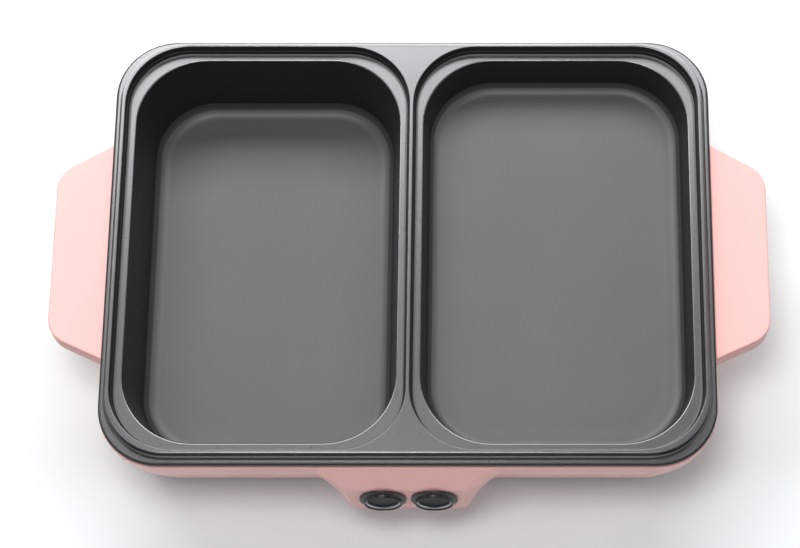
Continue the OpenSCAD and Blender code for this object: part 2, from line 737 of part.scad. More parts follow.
// A heating element in a U, its flat against the pan's underside at z
module heater(z) translate([0, 0, z - heater_d / 2 + heater_flat]) {
    r = heater_width / 2;
    for (sx = [-1, 1]) {
        translate([sx * r, heater_leg / 2, 0]) rotate([90, 0, 0])
            linear_extrude(heater_leg) heater_section();
        translate([sx * r, -heater_leg / 2, 0]) rotate([90, 0, 0])
            cylinder(h = heater_pin, d = heater_pin_d, $fn = 24);
    }
    translate([0, heater_leg / 2, 0]) rotate_extrude(angle = 180, $fn = fine)
        translate([r, 0]) heater_section();
}

module hot_pot_heater() color(zinc) translate([-basin_cx, 0, 0]) heater(pot_under);
module grill_heater() color(zinc) translate([basin_cx, 0, 0]) heater(grill_under);

// Four bridging straps that hold a heating element to the pan's underside at z
module straps(z) {
    high = heater_d - heater_flat + strap_thick;
    wide = heater_d + 2 * strap_thick + 12;
    for (sx = [-1, 1], sy = [-1, 1])
        translate([sx * heater_width / 2, sy * heater_leg / 4, z]) difference() {
            union() {
                translate([-heater_d / 2 - strap_thick - 0.3, -strap_width / 2, -high - 0.3])
                    cube([heater_d + 2 * strap_thick + 0.6, strap_width, high + 0.3]);
                translate([-wide / 2, -strap_width / 2, -strap_thick])
                    cube([wide, strap_width, strap_thick]);
            }
            translate([-heater_d / 2 - 0.3, -strap_width, -heater_d + heater_flat - 0.3])
                cube([heater_d + 0.6, 2 * strap_width, heater_d + 1]);
        }
}

module hot_pot_heater_straps() color(steel) translate([-basin_cx, 0, 0]) straps(pot_under);
module grill_heater_straps() color(steel) translate([basin_cx, 0, 0]) straps(grill_under);

// A disc sensor against the pan's underside at z, with two tabs
module sensor(z) {
    translate([0, 0, z - sensor_thick]) cylinder(h = sensor_thick, d = sensor_d, $fn = fine);
    for (sx = [-1, 1]) translate([sx * sensor_d / 4 - 0.4, -2, z - sensor_thick - 4])
        cube([0.8, 4, 4]);
}

module hot_pot_sensor() color(cream) translate([-basin_cx, 0, 0]) sensor(pot_under);
module grill_sensor() color(cream) translate([basin_cx, 0, 0]) sensor(grill_under);

// ---------------------------------------------------------------- inside the body
shield_w = 2 * (boss_x - boss_d / 2 - shield_gap);
shield_d = 2 * (boss_y0 - boss_d / 2 - shield_gap);

// The bright steel shield between the heating elements and the bottom cover
module heat_shield() color(steel) difference() {
    translate([-shield_w / 2, -shield_d / 2, shield_bottom])
        cube([shield_w, shield_d, shield_thick]);
    at_pan_posts() translate([0, 0, shield_bottom - 1])
        cylinder(h = shield_thick + 2, d = spacer_d + 2, $fn = fine);
}

module shield_spacers() color(cream) for (sx = [-1, 1], sy = [-1, 1])
    translate([sx * (shield_w / 2 - spacer_d), sy * (shield_d / 2 - spacer_d), body_bottom])
        cylinder(h = shield_rise, d = spacer_d, $fn = fine);

// The fuse, lying on the shield beside the terminal block
module thermal_fuse() color(steel) translate([-fuse_side, fuse_back,
    shield_bottom + shield_thick + 0.4 * fuse_d]) rotate([0, 90, 0]) difference() {
        cylinder(h = fuse_length, d = fuse_d, center = true, $fn = 24);
        translate([0.4 * fuse_d, -fuse_d, -fuse_length])
            cube([fuse_d, 2 * fuse_d, 2 * fuse_length]);
    }

// The terminal block on the shield, with its three screw ways
block_w = 30;
block_d = 14;
block_h = 12;
block_y = shield_d / 2 - block_d - 14;
module terminal_block() color(cream) translate([basin_cx, block_y,
    shield_bottom + shield_thick]) difference() {
        translate([-block_w / 2, 0, 0]) cube([block_w, block_d, block_h]);
        for (i = [-1, 0, 1]) translate([i * block_w / 3, block_d / 2, block_h - 5])
            cylinder(h = 6, d = 5, $fn = 24);
    }

// The rubber bush that guides the mains cord through the body's back wall
bush_slope = body_lean / lean_height;
bush_wall_y = band_y - bush_slope * (band_bottom - bush_height);
module cord_bush() color(black) translate([bush_side, bush_wall_y, bush_height])
    rotate([-90, 0, 0]) difference() {
        union() {
            translate([0, 0, -body_wall - 3]) cylinder(h = body_wall + 3 + bush_out,
                d = bush_d, $fn = fine);
            translate([0, 0, bush_slope * bush_collar_d / 2 + seat_gap])
                cylinder(h = 2, d = bush_collar_d, $fn = fine);
        }
        translate([0, 0, -body_wall - 4]) cylinder(h = body_wall + bush_out + 6,
            d = bush_hole, $fn = fine);
    }

// One wire through the given points
module wire(points) {
    for (i = [0 : len(points) - 2]) hull() {
        translate(points[i]) sphere(d = wire_d, $fn = 8);
        translate(points[i + 1]) sphere(d = wire_d, $fn = 8);
    }
}

// The wires between the terminal block and the two thermostats
module inner_wiring() color(brown) {
    z = shield_bottom + shield_thick + wire_d / 2 + 0.2;
    y0 = block_y - wire_d;
    y1 = thermostat_front + thermostat_depth + 4;
    for (sx = [-1, 1]) {
        x0 = basin_cx + sx * block_w / 3;
        x1 = sx * (knob_x + thermostat_size / 4) ;
        wire([[x0, y0, z + 3], [x0, y0 - 12, z], [x0, -shield_d / 2 + 20 + sx * 6, z],
            [x1, -shield_d / 2 + 20 + sx * 6, z], [x1, -shield_d / 2 + 6, z + 4],
            [x1, y1 + 2, knob_height - thermostat_h / 2 - 1]]);
    }
}

// ---------------------------------------------------------------- drawing
module place() translate([0, shift_y, 0]) children();

place() base_housing();
place() bottom_cover();
place() rubber_feet();
place() cover_screws();
place() left_handle();
place() right_handle();
place() handle_screws();
place() control_console();
place() console_screws();
place() thermostat_bracket();
place() left_thermostat();
place() right_thermostat();
place() left_shaft();
place() right_shaft();
place() left_knob();
place() right_knob();
place() left_knob_ring();
place() right_knob_ring();
place() pan_seal();
place() twin_pan();
place() pan_posts();
place() pan_screws();
place() hot_pot_heater();
place() grill_heater();
place() hot_pot_heater_straps();
place() grill_heater_straps();
place() hot_pot_sensor();
place() grill_sensor();
place() heat_shield();
place() shield_spacers();
place() thermal_fuse();
place() terminal_block();
place() cord_bush();
place() inner_wiring();
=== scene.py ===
"""Looks for the electric twin-basin hot pot and grill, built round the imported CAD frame.

Lengths in the builders below are millimetres, in the CAD part's own numbers; mesh_object()
turns them into metres. X is to the right of a person who faces the knobs, Y to the back.
"""
import math

import bmesh
import bpy
from mathutils import Matrix, Vector


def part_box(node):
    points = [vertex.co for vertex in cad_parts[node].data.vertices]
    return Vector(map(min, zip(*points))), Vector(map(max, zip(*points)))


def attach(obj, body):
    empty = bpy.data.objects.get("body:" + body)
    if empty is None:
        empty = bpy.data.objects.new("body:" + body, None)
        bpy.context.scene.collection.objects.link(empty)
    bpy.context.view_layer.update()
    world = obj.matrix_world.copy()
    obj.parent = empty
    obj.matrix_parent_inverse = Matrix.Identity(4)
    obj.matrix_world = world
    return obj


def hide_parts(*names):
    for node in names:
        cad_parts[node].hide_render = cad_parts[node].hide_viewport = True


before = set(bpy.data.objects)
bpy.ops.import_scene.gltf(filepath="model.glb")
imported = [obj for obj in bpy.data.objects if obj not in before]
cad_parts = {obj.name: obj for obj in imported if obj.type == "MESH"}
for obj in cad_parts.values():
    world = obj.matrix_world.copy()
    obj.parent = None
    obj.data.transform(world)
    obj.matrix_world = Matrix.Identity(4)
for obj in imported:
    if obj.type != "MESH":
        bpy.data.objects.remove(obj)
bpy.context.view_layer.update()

MM = 0.001

# ---------------------------------------------------------------- sizes
# as in the CAD part, but for the finer shapes that only the scene has
pan_low, pan_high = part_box("twin_pan")
SHIFT_Y = (pan_low[1] + pan_high[1]) / 2 / MM
PAN_W = (pan_high[0] - pan_low[0]) / MM
PAN_D = (pan_high[1] - pan_low[1]) / MM
RIM_TOP = pan_high[2] / MM
FLANGE_R = 32.3
FLANGE_TOP = 78.0
FLANGE_UNDER = 75.4
HOLLOW_BEND = 3.6  # radius of the hollow between the flange and the rim
RIM_INSET = 4.4
RIM_R = 32.0
RIM_DRAFT = 0.9
RIM_WIDTH = 2.0
LEDGE_WIDTH = 4.6
DIVIDER = 2.0
LEDGE_R = 32.7
BASIN_R = 37.0
BASIN_TAPER = 0.8
BASIN_WALL = 2.6
BOSS_R = 5.0
BOSS_DROP = 14.0
BOSS_INSET = 23.0
# lean: how far the wall runs in; margin: from the fillet to the sunk floor; side: -1 is left
POT = dict(depth=49.0, lean=4.6, fillet=8.0, margin=6.0, side=-1)
GRILL = dict(depth=26.0, lean=2.4, fillet=6.4, margin=3.4, side=1)
FLOOR_BORDER = 4.0  # how far the floor's soft border runs on past its margin
FLOOR_SINK = 1.0
FLOOR_DIP = 0.25

LEDGE_OUT = RIM_INSET + RIM_WIDTH + RIM_DRAFT
DIVIDER_FOOT = DIVIDER / 2 + RIM_DRAFT
LEDGE_CX = (DIVIDER_FOOT + PAN_W / 2 - LEDGE_OUT) / 2
LEDGE_W = PAN_W / 2 - LEDGE_OUT - DIVIDER_FOOT
LEDGE_D = PAN_D - 2 * LEDGE_OUT
BASIN_W = LEDGE_W - 2 * LEDGE_WIDTH
BASIN_D = LEDGE_D - 2 * LEDGE_WIDTH

BAND_OUT = 0.4  # how far the body's band stands out past the flange
BAND_X = PAN_W / 2 + BAND_OUT
BAND_Y = PAN_D / 2 + BAND_OUT
BAND_R = 32.7
BODY_TOP = 74.0
BAND_BOTTOM = 61.0
BODY_BOTTOM = 6.0
BODY_LEAN = 13.4
BODY_FOOT_ROUND = 2.0
BODY_WALL = 2.4
SEAT_DROP = 0.6  # handles and console lie this much lower than the body's top

WING_REACH = 29.1
WING_CORNER = 15.0
WING_THICK = 12.0
WING_FRONT = dict(root=61.3, grip=53.2)
WING_BACK = dict(root=60.5, grip=50.0)

CONSOLE_REACH = 9.8
FACE_Y = -BAND_Y - CONSOLE_REACH
KNOB_Z = 48.0
KNOB_GAP = 0.5  # between the face and the knob's skirt
KNOB_X = 13.4
FACE_TILT = math.radians(5)
CONSOLE_LOW = 30.1
CONSOLE_ROUND = 6.0
# where the leaning face stands at the height of the knobs
KNOB_FACE_Y = (FACE_Y + CONSOLE_ROUND * (1 - math.cos(FACE_TILT)) + math.tan(FACE_TILT)
               * (KNOB_Z - CONSOLE_LOW - CONSOLE_ROUND * (1 + math.sin(FACE_TILT))))

SKIRT_R = 12.25
CUP_R = 10.0
CUP_BORE = 9.4
CUP_TOP = 2.9
KNOB_FLOOR = 0.92  # height of the face inside the cup
HUB_R = 4.5
HUB_DEEP = 2.4

FOOT_R = 9.0
FOOT_TALL = 4.0
FOOT_INSET = 25.0  # from the body's bottom edge in to each foot's axis

CORNER = 14  # segments in each rounded corner


# ---------------------------------------------------------------- mesh helpers
def arc(start, stop, count):
    """Angles in radians from start to stop, given in degrees, in count steps."""
    return [math.radians(start + (stop - start) * i / count) for i in range(count + 1)]


def soft_step(t):
    """Rises from 0 to 1 as t does, level at both ends."""
    return 3 * t * t - 2 * t ** 3


def ring(w, d, r, z, cx, inset, taper=1.0):
    """A rounded rectangle's points, anticlockwise, drawn in by inset."""
    w, d, r = w - 2 * inset, d - 2 * inset, max(r - taper * inset, 0.8)
    points = []
    for sx, sy, start in ((1, -1, -90), (1, 1, 0), (-1, 1, 90), (-1, -1, 180)):
        for a in arc(start, start + 90, CORNER):
            points.append((cx + sx * (w / 2 - r) + r * math.cos(a),
                           sy * (d / 2 - r) + r * math.sin(a), z))
    return points


def circle(r, z, n, cy=0.0):
    """The points of a circle of n sides."""
    return [(r * math.cos(2 * math.pi * i / n), cy + r * math.sin(2 * math.pi * i / n), z)
            for i in range(n)]


class Build:
    """Collects rings of vertices and the faces between them."""

    def __init__(self):
        self.bm = bmesh.new()

    def add(self, points):
        """New vertices at the points."""
        return [self.bm.verts.new(p) for p in points]

    def skin(self, a, b, material, flip=False):
        """Joins two rings of vertices with a strip of faces."""
        n = len(a)
        for i in range(n):
            j = (i + 1) % n
            quad = [a[i], a[j], b[j], b[i]]
            face = self.bm.faces.new(quad[::-1] if flip else quad)
            face.material_index = material

    def loft(self, rings, material, flip=False):
        """Skins from each ring of points to the next, in one material or a list of them."""
        made = [self.add(points) for points in rings]
        for k, (a, b) in enumerate(zip(made, made[1:])):
            self.skin(a, b, material[k] if isinstance(material, list) else material, flip)
        return made

    def cap(self, verts, material, flip=False):
        """Closes a ring of vertices with one face."""
        face = self.bm.faces.new(verts[::-1] if flip else verts)
        face.material_index = material

    def plane(self, loops, material, up):
        """Fills the flat region inside the first loop and outside the others."""
        edges = []
        for verts in loops:
            for i, v in enumerate(verts):
                ends = (v, verts[(i + 1) % len(verts)])
                edges.append(self.bm.edges.get(ends) or self.bm.edges.new(ends))
        filled = bmesh.ops.triangle_fill(self.bm, use_beauty=True, edges=edges)
        for f in filled["geom"]:
            if isinstance(f, bmesh.types.BMFace):
                f.material_index = material
                f.normal_update()
                if (f.normal.z > 0) != up:
                    f.normal_flip()


def mesh_object(name, build, materials, sharp):
    """Turns a Build into a smooth object in metres, moved to the frame's place."""
    bm = build.bm
    bmesh.ops.recalc_face_normals(bm, faces=bm.faces)
    bm.normal_update()
    offset = Vector((0, SHIFT_Y, 0))
    for v in bm.verts:
        v.co = (v.co + offset) * MM
    limit = math.radians(sharp)
    for e in bm.edges:
        e.smooth = len(e.link_faces) != 2 or e.calc_face_angle(0) < limit
    for f in bm.faces:
        f.smooth = True
    mesh = bpy.data.meshes.new(name)
    bm.to_mesh(mesh)
    bm.free()
    obj = bpy.data.objects.new(name, mesh)
    bpy.context.scene.collection.objects.link(obj)
    for m in materials:
        mesh.materials.append(m)
    weighted = obj.modifiers.new("weighted", "WEIGHTED_NORMAL")
    weighted.keep_sharp = True
    return obj


# ---------------------------------------------------------------- materials
DRIFT_SCALE = 25.0  # noise scale of the slow drift in colour
BUMP_DEPTH = 0.0004  # metres


def principled(name, base, roughness, metallic=0.0, coat=0.0, coat_roughness=0.1,
               grain=400.0, tint=0.04, rough_spread=0.05, bump=0.02, bump_scale=900.0,
               specular=0.5):
    """A procedural surface: slow colour drift, fine grain in roughness, and a fine bump."""
    m = bpy.data.materials.new(name)
    m.use_nodes = True
    nodes, links = m.node_tree.nodes, m.node_tree.links
    shader = nodes["Principled BSDF"]
    shader.inputs["Metallic"].default_value = metallic
    shader.inputs["Coat Weight"].default_value = coat
    shader.inputs["Coat Roughness"].default_value = coat_roughness
    shader.inputs["Specular IOR Level"].default_value = specular
    coords = nodes.new("ShaderNodeTexCoord")

    def noise(scale, detail):
        n = nodes.new("ShaderNodeTexNoise")
        n.inputs["Scale"].default_value = scale
        n.inputs["Detail"].default_value = detail
        links.new(coords.outputs["Object"], n.inputs["Vector"])
        return n.outputs["Fac"]

    drift = nodes.new("ShaderNodeMapRange")
    drift.inputs["To Min"].default_value = 1 - tint
    drift.inputs["To Max"].default_value = 1 + tint
    links.new(noise(DRIFT_SCALE, 3), drift.inputs["Value"])
    colour = nodes.new("ShaderNodeMix")
    colour.data_type = "RGBA"
    colour.blend_type = "MULTIPLY"
    colour.inputs["Factor"].default_value = 1.0
    colour.inputs["A"].default_value = (*base, 1)
    links.new(drift.outputs["Result"], colour.inputs["B"])
    links.new(colour.outputs["Result"], shader.inputs["Base Color"])
    rough = nodes.new("ShaderNodeMapRange")
    rough.inputs["To Min"].default_value = roughness - rough_spread
    rough.inputs["To Max"].default_value = roughness + rough_spread
    links.new(noise(grain, 2), rough.inputs["Value"])
    links.new(rough.outputs["Result"], shader.inputs["Roughness"])
    relief = nodes.new("ShaderNodeBump")
    relief.inputs["Strength"].default_value = bump
    relief.inputs["Distance"].default_value = BUMP_DEPTH
    links.new(noise(bump_scale, 3), relief.inputs["Height"])
    links.new(relief.outputs["Normal"], shader.inputs["Normal"])
    return m


PINK = principled("moulded_pink", (0.95, 0.515, 0.488), 0.33, coat=0.15, coat_roughness=0.12,
                  tint=0.012, bump=0.03, bump_scale=1400)
# the same moulded pink, darker and duller: painted shade for the wings' edges and undersides
PINK_PAINTED_SHADE = principled("moulded_pink_painted_shade", (0.80, 0.43, 0.41), 0.5, tint=0.02, bump=0.06,
                       bump_scale=1400)
PINK_MATT = principled("moulded_pink_matt", (0.86, 0.55, 0.53), 0.6, tint=0.02, bump=0.12)
RIM = principled("coated_rim", (0.185, 0.185, 0.188), 0.28, metallic=1.0, tint=0.03,
                 rough_spread=0.015, bump=0.006, bump_scale=1500)
BASIN = principled("coated_basin", (0.099, 0.099, 0.101), 0.46, metallic=0.15, tint=0.06,
                   rough_spread=0.04, bump=0.05, bump_scale=1800, grain=900)
# darker copies of the basin's coating: painted shade for the walls, the groove and the feet of
# the basins' fillets
WALL_PAINTED_SHADE = principled("coat_painted_shade_wall", (0.03, 0.03, 0.031), 0.4, metallic=0.3, specular=0.15,
                  tint=0.06, bump=0.04, bump_scale=1800)
FOOT_PAINTED_SHADE = principled("coat_painted_shade_foot", (0.06, 0.06, 0.061), 0.44, metallic=0.2, specular=0.3,
                  tint=0.06, bump=0.05, bump_scale=1800)
CASTING = principled("cast_underside", (0.42, 0.42, 0.43), 0.55, metallic=0.8, tint=0.06,
                     bump=0.25, bump_scale=600)
BLACK = principled("knob_black", (0.018, 0.018, 0.02), 0.32, tint=0.05, bump=0.03)
BLACK_FACE = principled("knob_face", (0.014, 0.014, 0.016), 0.48, specular=0.3, tint=0.05,
                        bump=0.05)
CHROME = principled("ring_metal", (0.29, 0.30, 0.31), 0.26, metallic=1.0, tint=0.03, bump=0.02)
RUBBER = principled("foot_rubber", (0.02, 0.02, 0.021), 0.7, tint=0.1, bump=0.2)
SEAL = principled("seal_rubber", (0.015, 0.015, 0.016), 0.55, tint=0.1, bump=0.1)
STEEL = principled("plated_steel", (0.56, 0.57, 0.60), 0.32, metallic=1.0, tint=0.05, bump=0.05)
SHEET = principled("bright_sheet", (0.66, 0.67, 0.69), 0.4, metallic=1.0, tint=0.06, bump=0.1,
                   bump_scale=250)
SHEATH = principled("heater_sheath", (0.20, 0.19, 0.19), 0.5, metallic=0.9, tint=0.15,
                    bump=0.15)
CERAMIC = principled("ceramic", (0.74, 0.70, 0.60), 0.5, tint=0.04, bump=0.12)
WIRE = principled("wire_sleeve", (0.16, 0.08, 0.05), 0.5, tint=0.1, bump=0.1)


# ---------------------------------------------------------------- twin pan
def basin_profile(basin, grow):
    """(inset, z) down a basin's wall and round its fillet, moved outward by grow."""
    middle = basin["lean"] + basin["fillet"]
    middle_z = FLANGE_TOP - basin["depth"] + basin["fillet"]
    radius = basin["fillet"] + grow
    return [(middle - radius * math.sin(a), middle_z - radius * math.cos(a))
            for a in arc(90, 0, 9)]


def make_pan():
    """The casting: a shell, two basins let into its deck, and two bosses below."""
    b = Build()
    rim, coat, cast, painted_shade, foot = range(5)

    def outer(inset, z):
        return ring(PAN_W, PAN_D, FLANGE_R, z, 0, inset)

    def upright(inset, z):
        return ring(PAN_W - 2 * RIM_INSET, PAN_D - 2 * RIM_INSET, RIM_R, z, 0, inset)

    # flange edge: a lower lip, a groove and an upper lip, then the hollow and the rim's wall
    edge = [(1.2, FLANGE_UNDER), (0.45, 75.42), (0.12, 75.6), (0.0, 75.95), (0.0, 76.15),
            (0.1, 76.38), (0.3, 76.48), (0.6, 76.5), (0.66, 76.3), (0.72, 76.05), (0.86, 76.05),
            (0.92, 76.3), (0.92, 77.3), (0.98, 77.6), (1.1, 77.82), (1.35, 77.98),
            (1.55, FLANGE_TOP)]
    # the hollow leaves the flange at 30 degrees, after a narrow flat that keeps the bend crisp
    bend = arc(30, 90, 6)
    hollow = [(-HOLLOW_BEND * (1 - math.sin(bend[0])) - 0.04, FLANGE_TOP)]
    hollow += [(-HOLLOW_BEND * (1 - math.sin(a)),
                FLANGE_TOP + HOLLOW_BEND * (math.cos(bend[0]) - math.cos(a))) for a in bend]
    top = [(0.0, RIM_TOP - 0.5), (0.05, RIM_TOP - 0.25), (0.18, RIM_TOP - 0.08), (0.4, RIM_TOP)]
    rings = [outer(i, z) for i, z in edge] + [upright(i, z) for i, z in hollow + top]
    # one material for each strip: the groove and the rim's upright wall take a darker copy of the
    # coating, painted shade
    kinds = [coat] * 6 + [painted_shade] * 4 + [coat] * 6
    kinds += [rim] * len(hollow) + [painted_shade] + [rim] * (len(top) - 1)
    shell = b.loft(rings, kinds)
    deck_loops = [shell[-1]]
    under_loops = [shell[0]]
    for basin in (POT, GRILL):
        cx = basin["side"] * LEDGE_CX

        def step(inset, z):
            return ring(LEDGE_W, LEDGE_D, LEDGE_R, z, cx, inset)

        def well(inset, z):
            return ring(BASIN_W, BASIN_D, BASIN_R, z, cx, inset, BASIN_TAPER)

        # from the rim's top down its inner wall to the ledge, then over the lip into the basin
        recess = [(-1.3, RIM_TOP), (-1.08, RIM_TOP - 0.06), (-0.94, RIM_TOP - 0.2),
                  (-0.88, RIM_TOP - 0.42), (-0.66, 80.5), (-0.6, 80.32), (-0.5, 80.24),
                  (-0.26, 80.2), (-0.18, 80.1), (-0.15, 79.9), (-0.08, 79.2), (0.06, 78.7),
                  (0.4, 78.26), (0.9, 78.05), (1.5, FLANGE_TOP)]
        lip = [(-0.9, FLANGE_TOP), (-0.5, 77.93), (-0.18, 77.72), (0.0, 77.35)]
        side = basin_profile(basin, 0)
        outer_edge = basin["lean"] + basin["fillet"]
        span = basin["margin"] + FLOOR_BORDER
        floor = FLANGE_TOP - basin["depth"]
        slope = [(outer_edge + span * t, floor - FLOOR_DIP * soft_step(t))
                 for t in (0.15, 0.3, 0.45, 0.6, 0.75, 0.9, 1.0)]
        rings = [step(i, z) for i, z in recess] + [well(i, z) for i, z in lip + side + slope]
        # the rim's bend, inner wall and foot; the ledge and lip; the basin's wall, foot and
        # floor. The walls and the basin's foot take darker copies of the coating, painted shade
        kinds = [rim] * 3 + [painted_shade] * 9 + [coat] * 2 + [rim] * 3 + [painted_shade] * 4 + [foot] * 3
        inner = b.loft(rings, kinds + [coat] * (len(rings) - 1 - len(kinds)))
        b.cap(inner[-1], coat)
        deck_loops.append(inner[0])
        outside = [(-BASIN_WALL, FLANGE_UNDER)]
        outside += [(i, z - FLOOR_SINK) for i, z in basin_profile(basin, BASIN_WALL)]
        tub = b.loft([well(i, z) for i, z in outside], cast, flip=True)
        b.cap(tub[-1], cast, flip=True)
        under_loops.append(tub[0])
    for sy in (-1, 1):
        y = sy * (PAN_D / 2 - BOSS_INSET)
        ends = [circle(BOSS_R, FLANGE_UNDER - drop, 32, y) for drop in (0, BOSS_DROP)]
        boss = b.loft(ends, cast, flip=True)
        b.cap(boss[-1], cast, flip=True)
        under_loops.append(boss[0])
    b.plane(deck_loops, rim, up=True)
    b.plane(under_loops, cast, up=False)
    return mesh_object("pan_casting", b, [RIM, BASIN, CASTING, WALL_PAINTED_SHADE, FOOT_PAINTED_SHADE], sharp=38)


# ---------------------------------------------------------------- body
def make_housing():
    """The body's shell: band, leaning wall and rounded bottom edge, open above and below."""
    b = Build()
    lean_height = BAND_BOTTOM - BODY_BOTTOM - BODY_FOOT_ROUND

    def at(inset, z):
        # the corners' radius grows by a quarter of the way down, up to 3 mm
        radius = BAND_R + min(3.0, 0.25 * (BODY_TOP - z))
        return ring(2 * BAND_X, 2 * BAND_Y, radius, z, 0, inset)

    def leaning(z):
        return BODY_LEAN * max(0.0, BAND_BOTTOM - z) / lean_height, z

    # rounded top edge and band, a soft bend, the leaning wall, the rounded bottom edge
    outside = [(1 - math.sin(a), BODY_TOP - 1 + math.cos(a)) for a in arc(0, 90, 5)]
    outside += [(0.0, BAND_BOTTOM + 4), (0.10, BAND_BOTTOM + 2), (0.32, BAND_BOTTOM),
                (0.75, BAND_BOTTOM - 2)]
    outside += [leaning(z) for z in (BAND_BOTTOM - 5, 46, 34, 22, 12,
                                     BODY_BOTTOM + BODY_FOOT_ROUND)]
    outside += [(BODY_LEAN + BODY_FOOT_ROUND * (1 - math.cos(a)),
                 BODY_BOTTOM + BODY_FOOT_ROUND * (1 - math.sin(a))) for a in arc(22.5, 90, 4)]
    inside = [(BODY_LEAN + BODY_WALL, BODY_BOTTOM), (BODY_LEAN + BODY_WALL, BODY_BOTTOM + 2),
              (BODY_WALL + 0.3, BAND_BOTTOM), (BODY_WALL, BAND_BOTTOM + 3), (BODY_WALL, BODY_TOP)]
    rings = [at(i, z) for i, z in outside + inside]
    made = b.loft(rings, 0, flip=True)
    b.skin(made[-1], made[0], 0, flip=True)
    return mesh_object("body_shell", b, [PINK], sharp=50)


def handle_half(g, root, grip):
    """Half of the wing's outline: grip is half its tip's length, root half its root's."""
    r = WING_CORNER
    cx, cy = WING_REACH - r, grip - r
    dx, dy = -cx, root - cy
    # the rounded corner ends where the straight side to the root touches it as a tangent
    turn = math.atan2(dy, dx) - math.acos(r / math.hypot(dx, dy))
    nx, ny = math.cos(turn), math.sin(turn)
    points = [(cx + (r - g) * math.cos(a), cy + (r - g) * math.sin(a))
              for a in arc(0, math.degrees(turn), CORNER)]
    return points + [(0.0, (nx * cx + ny * cy + r - g) / ny)]


def handle_ring(g, z, side):
    """The wing's outline from root to root, drawn in by g; its front corner reaches further."""
    front = [(x, -y) for x, y in handle_half(g, **WING_FRONT)]
    points = front[::-1] + handle_half(g, **WING_BACK)
    out = [(side * (BAND_X + x), y, z) for x, y in points]
    return out if side > 0 else out[::-1]


def make_handle(side, name):
    """One wing, glossy on top; round its edge and below it is duller and a darker pink, painted
    shade.
    """
    b = Build()
    top = BODY_TOP - SEAT_DROP
    low = top - WING_THICK
    levels = [(0.7, low), (0.35, low + 0.08), (0.1, low + 0.3), (0.0, low + 0.7),
              (0.0, top - 1.3), (0.06, top - 0.8), (0.26, top - 0.34), (0.6, top - 0.08),
              (1.1, top)]
    made = b.loft([handle_ring(g, z, side) for g, z in levels], [1] * 6 + [0] * 2)
    b.cap(made[-1], 0)
    b.cap(made[0], 1, flip=True)
    return mesh_object(name + "_wing", b, [PINK, PINK_PAINTED_SHADE], sharp=50)


# ---------------------------------------------------------------- console
def console_section(y, half_top, half_low, z0, z1, r):
    """An upright rounded trapezoid at y, anticlockwise seen from the front."""
    points = []
    corners = ((half_low - r, z0 + r, -90), (half_top - r, z1 - r, 0),
               (-half_top + r, z1 - r, 90), (-half_low + r, z0 + r, 180))
    for cx, cz, start in corners:
        for a in arc(start, start + 90, 8):
            points.append((cx + r * math.cos(a), y, cz + r * math.sin(a)))
    return points


def make_console():
    """The console's cover: its top falls to a narrower face, which then leans back."""
    b = Build()
    top = BODY_TOP - SEAT_DROP
    # (out from the band, half width above, half width below, fall of the top, rise of the bottom,
    # corner radius)
    levels = [(-2.0, 49.0, 36.0, 0.0, 0.0, 5.0), (0.0, 48.6, 35.5, 0.1, 0.0, 5.0),
              (0.5, 47.9, 35.0, 0.7, 0.0, 5.0), (2.0, 45.5, 34.4, 2.6, 0.0, 5.2),
              (4.0, 42.2, 33.6, 5.1, 0.0, 5.4), (6.0, 38.9, 32.8, 7.8, 0.0, 5.6),
              (7.4, 36.5, 32.2, 9.8, 0.3, 5.6), (8.4, 34.7, 31.6, 11.4, 0.8, 5.4),
              (9.1, 33.2, 30.8, 12.8, 1.5, 5.0), (9.55, 32.0, 30.0, 13.9, 2.3, 4.6),
              (CONSOLE_REACH, 30.6, 28.8, 15.2, 3.4, 4.0)]
    made = b.loft([console_section(-BAND_Y - out, wide, low, CONSOLE_LOW + rise, top - fall, r)
                   for out, wide, low, fall, rise, r in levels], 0)
    b.cap(made[-1], 0)
    b.cap(made[0], 0, flip=True)
    # the face leans back from its lower edge, and the lean fades out towards the band
    for v in b.bm.verts:
        t = min(max((-BAND_Y - v.co.y) / CONSOLE_REACH, 0), 1)
        lean = math.tan(FACE_TILT) * max(v.co.z - CONSOLE_LOW - CONSOLE_ROUND, -2)
        v.co.y += soft_step(t) * lean
    return mesh_object("console_cover", b, [PINK], sharp=60)


# ---------------------------------------------------------------- turned pieces
def turned(name, profile, materials, kinds, place, lean=0.0, n=72, extra=None):
    """A solid of revolution: profile is (radius, height), kinds the material up to each point."""
    b = Build()
    previous = None
    for kind, (r, h) in zip(kinds, profile):
        current = b.add(circle(r, h, n)) if r else [b.bm.verts.new((0, 0, h))] * n
        if previous:
            for i in range(n):
                j = (i + 1) % n
                # a point on the axis stands for a whole circle, so its faces are triangles
                corners = dict.fromkeys((previous[i], previous[j], current[j], current[i]))
                b.bm.faces.new(list(corners)).material_index = kind
        previous = current
    if extra:
        extra(b.bm)
    b.bm.transform(Matrix.Translation(Vector(place)) @ Matrix.Rotation(lean, 4, "X"))
    return mesh_object(name, b, materials, sharp=40)


def pointer(bm):
    """A low dark rib on the knob's face, which shows how far it is turned."""
    start, stop = 1.4, 6.9
    outline = [(-0.55, start), (0.55, start), (0.35, stop), (-0.35, stop)]
    low = [bm.verts.new((x, y, KNOB_FLOOR - 0.07)) for x, y in outline]
    high = [bm.verts.new((x * 0.7, start + (y - start) * 0.96 + 0.1, KNOB_FLOOR + 0.13))
            for x, y in outline]
    faces = [bm.faces.new(high)]
    for i in range(4):
        j = (i + 1) % 4
        faces.append(bm.faces.new((low[i], low[j], high[j], high[i])))
    for f in faces:
        f.material_index = 1


def on_face(name, side, profile, materials, kinds, extra=None):
    """A turned piece of a knob, on its axis and square to the leaning face."""
    out = Vector((0, -math.cos(FACE_TILT), math.sin(FACE_TILT)))
    place = Vector((side * KNOB_X, KNOB_FACE_Y, KNOB_Z)) + KNOB_GAP * out
    return turned(name, profile, materials, kinds, place, math.pi / 2 - FACE_TILT, extra=extra)


